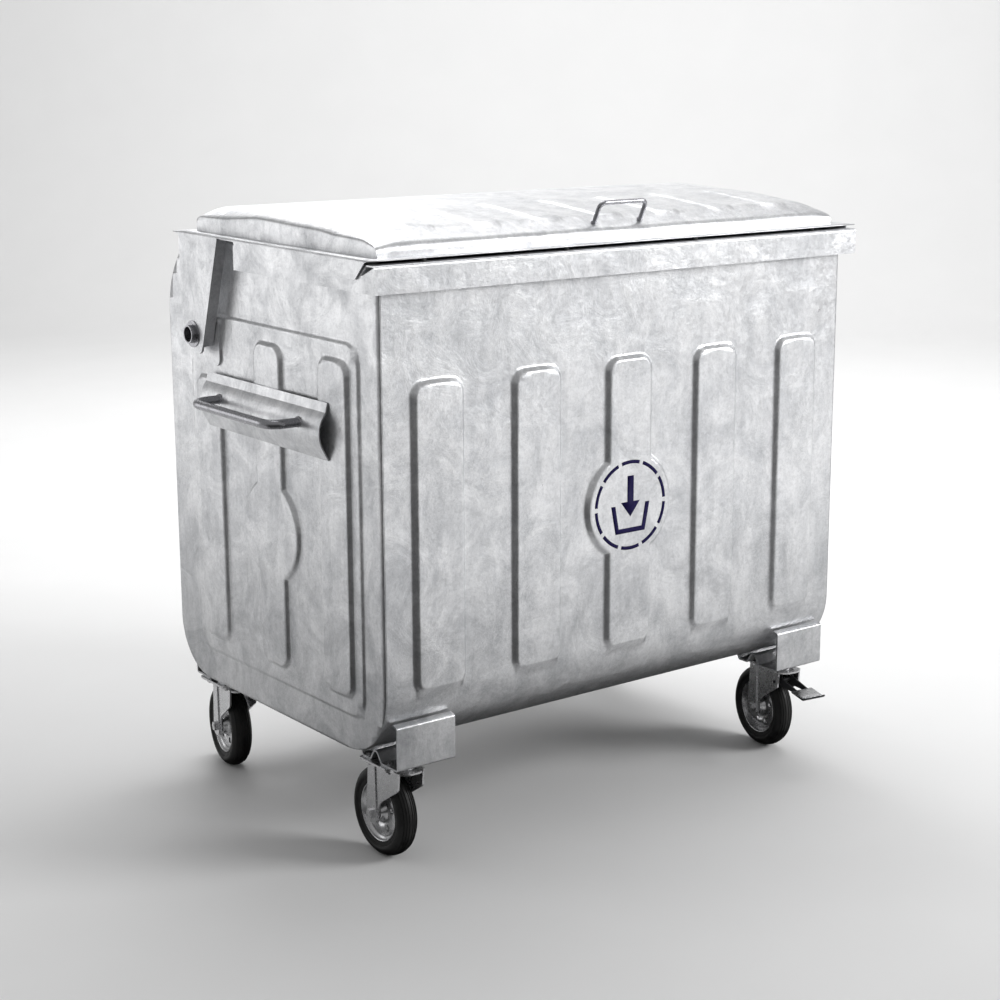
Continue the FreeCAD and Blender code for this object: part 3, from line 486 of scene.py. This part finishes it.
def side_span(z):
    """The side panel's front and back edge at a level."""
    front = FRONT
    if z < FLOOR + FRONT_BEND:
        front += FRONT_BEND - math.sqrt(FRONT_BEND ** 2 - (FLOOR + FRONT_BEND - z) ** 2)
    back = REAR
    centre, edge = crown()
    if z < FLOOR + REAR_BEND:
        back -= REAR_BEND - math.sqrt(REAR_BEND ** 2 - (FLOOR + REAR_BEND - z) ** 2)
    elif z > centre[1]:
        reach = max(0.0, CROWN_BEND ** 2 - (z - centre[1]) ** 2)
        back = max(edge[0], centre[0] + math.sqrt(reach))
    return front, back


def side_rise(y, z):
    """How far a side panel stands out at a point."""
    field = depth_in_bead(y, z, 0, FIELD)
    bead = max(depth_in_bead(y, z, -SIDE_PITCH, SIDE_BEAD), depth_in_bead(y, z, 0, SIDE_BEAD),
               depth_in_bead(y, z, SIDE_PITCH, SIDE_BEAD, SIDE_BEAD_REAR_HIGH),
               SIDE_DISC["radius"] - math.hypot(y, z - SIDE_DISC["level"]))
    return (FIELD["height"] * smooth_step(field / (FIELD["height"] + 4))
            + SIDE_BEAD["height"] * smooth_step(bead / (SIDE_BEAD["height"] + 1)))


def side_skins():
    """The two pressed side panels."""
    columns = bead_columns(REAR, SIDE_PITCH, 3, SIDE_BEAD, SIDE_DISC)
    field_edges = [(sign * FIELD["half"] - FIELD_FLANK, sign * FIELD["half"] + FIELD_FLANK, FINE["round"])
                   for sign in (-1, 1)]
    columns = spread(columns + stops(-REAR, REAR, 2 * REAR, field_edges))
    levels = bead_levels(FLOOR, WALL_TOP, SIDE_BEAD, SIDE_DISC)
    levels += stops(FLOOR, FLOOR + SIDE_FOOT, COARSE["side_edge"], [])
    levels += stops(SIDE_SHOULDER, WALL_TOP, COARSE["side_edge"], [])
    levels += stops(FIELD["low"] - 2, FIELD["low"] + FIELD_FLANK, FINE["flank"], [])
    levels += stops(FIELD["high"] - FIELD_FLANK, FIELD["high"] + 2, FINE["flank"], [])
    levels += stops(SIDE_BEAD_REAR_HIGH - SIDE_BEAD["round"], SIDE_BEAD_REAR_HIGH + MARGIN, FINE["round"], [])
    levels = spread(levels)
    for name, sign in (("left", -1), ("right", 1)):
        rows = []
        for y in columns:
            row = []
            for z in levels:
                front, back = side_span(z)
                place = min(max(y, front), back)
                row.append((sign * (BODY_HALF + side_rise(place, z)), place, z))
            rows.append(row)
        if sign < 0:
            rows.reverse()
        skin = thicken(grid("side_skin_" + name, rows, SHEET_METAL, "tub"), SHEET)
        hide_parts("side_panel_" + name)


def lid_skin():
    """The arched lid with its flange and the ribs pressed into its front slope."""
    top = LID_BASE + SHEET
    dome = rounded([(DOME_FRONT, top)] + DOME_LINE + [(DOME_REAR, top)], 8)
    profile = []
    for start, end in zip(dome, dome[1:]):
        parts = max(1, round(math.dist(start, end) / COARSE["lid_along"]))
        profile += [(start[0] + (end[0] - start[0]) * k / parts, start[1] + (end[1] - start[1]) * k / parts)
                    for k in range(parts)]
    profile.append(dome[-1])
    rib_marks = []
    for k in range(-3, 4):
        for side in (-1, 1):
            edge = k * LID_RIB_PITCH + side * LID_RIB["half"]
            rib_marks.append((edge - RIB_FLANK, edge + RIB_FLANK, FINE["rib"]))
    inner = DOME_HALF - DOME_SLOPE["run"]
    columns = [(x, 0, 0) for x in stops(-inner, inner, COARSE["lid_across"], rib_marks)]
    ends = []
    for k in range(1, 9):
        ends.append((inner + (DOME_SLOPE["run"] - 3) * k / 8, DOME_SLOPE["drop"] * (k / 8) ** 1.5, 0))
    ends += [(DOME_HALF - 1.2, DOME_SLOPE["drop"] + 2, 0), (DOME_HALF, DOME_SLOPE["drop"] + 5, 0)]
    ends += [(DOME_HALF, DOME_SLOPE["drop"] + 5, fall / 4) for fall in range(1, 5)]
    columns = [(-x, drop, fall) for x, drop, fall in ends[::-1]] + columns + ends
    rows = []
    for y, z in profile:
        row = [(-LID_HALF, y, top)]
        for x, drop, fall in columns:
            rib = max(depth_in_bead(x, y, k * LID_RIB_PITCH, LID_RIB) for k in range(-3, 4))
            height = z - top + LID_RIB["height"] * smooth_step(rib / 12)
            height -= drop * min(1.0, (z - top) / DOME_HEIGHT) ** 2
            row.append((x, y, top + height * (1 - fall)))
        row.append((LID_HALF, y, top))
        rows.append(row)
    rows.insert(0, [(p[0], LID_FRONT, top) for p in rows[0]])
    rows.append([(p[0], LID_REAR, top) for p in rows[0]])
    rows = [[row[j] for row in rows] for j in range(len(rows[0]))]
    skin = thicken(grid("lid_skin", rows, SHEET_METAL, "lid"), SHEET, sharp=60)
    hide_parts("lid_shell")


# ---------------------------------------------------------------- wheels

def wheel_pose(corner):
    """Where a wheel's middle is, and how it stands turned."""
    x, y, turn = WHEEL_SWIVELS[corner]
    spin = Matrix.Rotation(math.radians(turn), 4, "Z")
    middle = Vector((x, y, WHEEL_RADIUS)) + spin @ Vector((0, CASTER_TRAIL, 0))
    return Matrix.Translation(middle) @ spin


def lathe(name, profile, pose, material, body, steps=84):
    """An open or closed line of (across, radius) turned about the wheel's axle."""
    rows = []
    for k in range(steps + 1):
        angle = 2 * math.pi * k / steps
        rows.append([pose @ Vector((across, radius * math.cos(angle), radius * math.sin(angle)))
                     for across, radius in profile])
    return grid(name, rows, material, body)


def mirrored(half):
    """A profile's right half, from the middle outwards, completed with its left half."""
    return [(-across, radius) for across, radius in half[::-1]] + half


def tyre(corner):
    """A cushion tyre with three fine grooves on each side of its tread."""
    half = [(0, WHEEL_RADIUS)]
    for place in TYRE_GROOVE["places"]:
        crest = WHEEL_RADIUS - TREAD_CROWN * place ** 2
        floor = crest - TYRE_GROOVE["depth"]
        half += [(place - TYRE_GROOVE["top"], crest), (place - TYRE_GROOVE["bottom"], floor),
                 (place + TYRE_GROOVE["bottom"], floor), (place + TYRE_GROOVE["top"], crest)]
    half += TYRE_SHOULDER
    thing = lathe("tyre_skin_" + corner, mirrored(half), wheel_pose(corner), TYRE_RUBBER, "wheel_" + corner)
    thing.data.set_sharp_from_angle(angle=math.radians(38))
    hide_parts("tyre_" + corner)


def rim(corner):
    """A pressed rim: rolled edge, dished web with round holes, and a hub round the bearing."""
    pose = wheel_pose(corner)
    for side in (-1, 1):
        name = "%s_%s" % (corner, "inner" if side < 0 else "outer")
        ring = [(side * across, radius) for across, radius in RIM_EDGE]
        boss = [(side * across, radius) for across, radius in RIM_HUB]
        for label, line in (("rim_edge_", ring), ("rim_hub_", boss)):
            thing = lathe(label + name, line, pose, PLATED, "wheel_" + corner)
            thing.data.set_sharp_from_angle(angle=math.radians(40))
            thicken(thing, RIM_GAUGE)
            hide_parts("wheel_rim_" + corner)
        web(name, side, pose, corner)


def web(name, side, pose, corner):
    """One face of the rim's web, with five round holes and their turned-in edges."""
    mesh = bmesh.new()
    rings = [((0, 0), WEB["outer"], 60), ((0, 0), WEB["inner"], 36)]
    for k in range(WEB_HOLE["count"]):
        angle = math.radians(360 / WEB_HOLE["count"] * k + WEB_HOLE["start"])
        centre = (WEB_HOLE["ring"] * math.cos(angle), WEB_HOLE["ring"] * math.sin(angle))
        rings.append((centre, WEB_HOLE["radius"], 20))
    loops = []
    for (u, v), radius, steps in rings:
        verts = [mesh.verts.new((side * WEB["across"], u + radius * math.cos(2 * math.pi * k / steps),
                                 v + radius * math.sin(2 * math.pi * k / steps))) for k in range(steps)]
        loops.append([mesh.edges.new((verts[k - 1], verts[k])) for k in range(steps)])
    bmesh.ops.triangle_fill(mesh, edges=[edge for loop in loops for edge in loop], use_beauty=True)
    for loop in loops[2:]:
        wall = bmesh.ops.extrude_edge_only(mesh, edges=loop)
        verts = [part for part in wall["geom"] if isinstance(part, bmesh.types.BMVert)]
        bmesh.ops.translate(mesh, verts=verts, vec=(-side * WEB_HOLE["depth"], 0, 0))
    bmesh.ops.transform(mesh, matrix=Matrix.Scale(MM, 4) @ pose, verts=mesh.verts)
    data = bpy.data.meshes.new("rim_web_" + name)
    mesh.to_mesh(data)
    mesh.free()
    thing = bpy.data.objects.new("rim_web_" + name, data)
    bpy.context.scene.collection.objects.link(thing)
    paint(thing, PLATED)
    thicken(thing, RIM_GAUGE)
    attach(thing, "wheel_" + corner)
    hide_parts("wheel_rim_" + corner)


def tread_cover():
    """The bright plate on the brake lever's tread."""
    x, y, turn = WHEEL_SWIVELS["front_right"]
    spin = Matrix.Rotation(math.radians(turn), 4, "Z")
    swing = Matrix.Rotation(math.radians(PEDAL["tilt"]), 4, "X")
    hinge = Matrix.Translation((0, -PEDAL["front"], PEDAL["level"]))
    pivot = Matrix.Translation((x, y, 0)) @ spin @ hinge @ swing
    top = PEDAL["gauge"] + TREAD["gap"]
    tip = -PEDAL["reach"]
    line = rounded([(tip + TREAD["length"], top), (tip + 6.5, top, TREAD["lip"]),
                    (tip + TREAD["gap"], top + TREAD["lip"])])
    rows = []
    for k in range(13):
        across = PEDAL["half"] * (k / 6 - 1)
        rows.append([pivot @ Vector((across, v, w)) for v, w in line])
    cover = thicken(grid("tread_cover", rows, PLATED, "pedal_front_right"), -TREAD["gauge"])


# ---------------------------------------------------------------- painted emblem and welds

def emblem():
    """A generic waste sign, printed on the round field: a dashed ring, an arrow and an open tray."""
    shapes = [SIGN_ARROW, SIGN_TRAY]
    sector = 360 / SIGN_RING["dashes"]
    for k in range(SIGN_RING["dashes"]):
        start = sector * k + SIGN_RING["gap"]
        end = sector * (k + 1) - SIGN_RING["gap"]
        angles = [math.radians(start + (end - start) * j / 12) for j in range(13)]
        outer = [(SIGN_RING["outer"] * math.cos(a), SIGN_RING["outer"] * math.sin(a)) for a in angles]
        inner = [(SIGN_RING["inner"] * math.cos(a), SIGN_RING["inner"] * math.sin(a)) for a in angles[::-1]]
        shapes.append(outer + inner)
    mesh = bmesh.new()
    level = FRONT - BEAD["height"] - SIGN_GAP
    for shape in shapes:
        face = mesh.faces.new([mesh.verts.new(Vector((u, level, DISC["level"] + v)) * MM) for u, v in shape])
        face.normal_update()
        if face.normal.y > 0:
            face.normal_flip()
    bmesh.ops.triangulate(mesh, faces=mesh.faces)
    data = bpy.data.meshes.new("emblem")
    mesh.to_mesh(data)
    mesh.free()
    thing = bpy.data.objects.new("emblem", data)
    bpy.context.scene.collection.objects.link(thing)
    paint(thing, NAVY)
    thicken(thing, SIGN_GAUGE)
    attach(thing, "tub")


def weld(name, centre, axis, radius, bead, body):
    """A rippled weld bead round a bar or tube."""
    steps = 40
    side = Vector(axis).orthogonal().normalized()
    rows = []
    for k in range(steps + 1):
        turn = Matrix.Rotation(2 * math.pi * k / steps, 3, Vector(axis))
        out = turn @ side
        size = bead * (1 + 0.12 * math.sin(18 * math.pi * k / steps))
        ring = []
        for j in range(8):
            angle = 2 * math.pi * j / 8
            outwards = out * (radius + size * math.cos(angle))
            ring.append(Vector(centre) + outwards + Vector(axis) * size * math.sin(angle))
        rows.append(ring)
    thing = grid(name, rows, ROD_METAL, body, closed=True)


def welds():
    """Welds at the feet of the bars and round the trunnions."""
    for name, sign in (("left", -1), ("right", 1)):
        foot = HANDLE_FOOT
        for k, y in enumerate((-foot["y"], foot["y"])):
            weld("handle_weld_%s_%d" % (name, k), (sign * foot["x"], y, foot["z"]), (sign, 0, 0),
                 foot["radius"], foot["bead"], "tub")
        foot = TRUNNION_FOOT
        weld("trunnion_weld_" + name, (sign * foot["x"], foot["y"], foot["z"]), (sign, 0, 0),
             foot["radius"], foot["bead"], "tub")
    foot = LID_HANDLE_FOOT
    lean = math.radians(foot["lean"])
    for k, x in enumerate((-foot["x"], foot["x"])):
        weld("lid_handle_weld_%d" % k, (x, foot["y"], foot["z"]), (0, -math.sin(lean), math.cos(lean)),
             foot["radius"], foot["bead"], "lid")


# ---------------------------------------------------------------- stage, light and camera

# metres and radians
BACKDROP_HEADING = 0.676
BACKDROP_START = 7
BACKDROP_RADIUS = 2.5
BACKDROP_TOP = 12
FLOOR_FRONT = -14
FLOOR_HALF = 16


def stage():
    """A pale floor that curves up into a backdrop, and soft light from large panels."""
    back = Vector((math.sin(BACKDROP_HEADING), math.cos(BACKDROP_HEADING), 0))
    across = Vector((back.y, -back.x, 0))
    section = [(FLOOR_FRONT, 0)]
    for angle in [math.radians(a) for a in range(0, 91, 6)]:
        section.append((BACKDROP_START + BACKDROP_RADIUS * math.sin(angle),
                        BACKDROP_RADIUS * (1 - math.cos(angle))))
    section.append((BACKDROP_START + BACKDROP_RADIUS, BACKDROP_TOP))
    mesh = bpy.data.meshes.new("floor")
    points = []
    for reach, height in section:
        for side in (-FLOOR_HALF, FLOOR_HALF):
            points.append(back * reach + across * side + Vector((0, 0, height)))
    mesh.from_pydata(points, [], [(2 * k, 2 * k + 1, 2 * k + 3, 2 * k + 2) for k in range(len(section) - 1)])
    mesh.shade_smooth()
    floor = bpy.data.objects.new("floor", mesh)
    bpy.context.scene.collection.objects.link(floor)
    material, tree, shader = new_material("floor_paper", 0.0, 0.9)
    shade = noise(tree, coordinates(tree), 3, detail=2)
    tree.links.new(curve(tree, shade, [(0.0, 0.70), (1.0, 0.73)]), shader.inputs["Base Color"])
    paint(floor, material)
    world = bpy.data.worlds.new("studio")
    bpy.context.scene.world = world
    world.use_nodes = True
    world.node_tree.nodes["Background"].inputs["Color"].default_value = (1, 1, 1, 1)
    world.node_tree.nodes["Background"].inputs["Strength"].default_value = 0.40
    panel("key", (4.2, -4.6, 3.2), (0, 0, 0.7), 2.4, 280)
    panel("top", (0.3, 0.8, 5.0), (0, 0, 1.0), 2.2, 38)
    panel("back", (1.4, 4.4, 4.4), (0, 0, 1.1), 2.2, 60)
    panel("left", (-3.4, 3.9, 1.25), (0, 0, 0.9), 2.3, 25)
    panel("backdrop", (2.5, 2.0, 6.5), (6.0, 7.5, 1.0), 5.0, 470)
    flags()
    bpy.context.scene.view_settings.view_transform = "Standard"


def flag(name, points):
    """A black card that only the metal's reflections see; it throws no shadow."""
    mesh = bpy.data.meshes.new(name)
    mesh.from_pydata(points, [], [(0, 1, 2, 3)])
    card = bpy.data.objects.new(name, mesh)
    bpy.context.scene.collection.objects.link(card)
    material, _, shader = new_material(name + "_cloth", 0.0, 1.0)
    shader.inputs["Base Color"].default_value = (0.01, 0.01, 0.01, 1)
    paint(card, material)
    card.visible_camera = False
    card.visible_shadow = False
    card.visible_diffuse = False


def flags():
    """Black cards low on the container's left front, and on the floor under it; the one under it is painted
    shade in the metal's reflections.
    """
    heading = Vector((-0.76, -0.65, 0))
    across = Vector((heading.y, -heading.x, 0))
    low = Vector((0, 0, 0.03))
    high = Vector((0, 0, 1.4))
    flag("flag_front", [heading * 0.9 - across * 0.7 + low, heading * 0.9 + across * 0.7 + low,
                        heading * 5.5 + across * 3.2 + high, heading * 5.5 - across * 3.2 + high])
    # painted shade: a black card where the floor under the container is in shade, seen only in reflections
    flag("shade_card_under", [(-0.6, -0.42, 0.01), (0.9, -0.42, 0.01), (0.9, 0.4, 0.01), (-0.6, 0.4, 0.01)])


def panel(name, place, target, size, power):
    """A square area light that faces a point."""
    lamp = bpy.data.lights.new(name, "AREA")
    lamp.size = size
    lamp.energy = power
    thing = bpy.data.objects.new(name, lamp)
    thing.location = place
    thing.rotation_euler = (Vector(target) - Vector(place)).to_track_quat("-Z", "Y").to_euler()
    thing.visible_camera = False
    bpy.context.scene.collection.objects.link(thing)


def camera():
    """A low three-quarter view on the front and the left side."""
    heading = 0.67608
    fall = 0.22396
    roll = 0.00411
    lens = bpy.data.cameras.new("camera")
    lens.lens = 71.79
    lens.shift_x = -0.0732
    lens.shift_y = -0.00725
    thing = bpy.data.objects.new("camera", lens)
    turn = Matrix.Rotation(-heading, 4, "Z") @ Matrix.Rotation(math.pi / 2 - fall, 4, "X")
    turn = turn @ Matrix.Rotation(roll, 4, "Z")
    thing.matrix_world = Matrix.Translation((-2.77037, -3.68834, 1.71962)) @ turn
    bpy.context.scene.collection.objects.link(thing)
    bpy.context.scene.camera = thing


paint_nodes()
tub_skin()
side_skins()
lid_skin()
for wheel_corner in WHEEL_SWIVELS:
    tyre(wheel_corner)
    rim(wheel_corner)
tread_cover()
emblem()
welds()
stage()
camera()
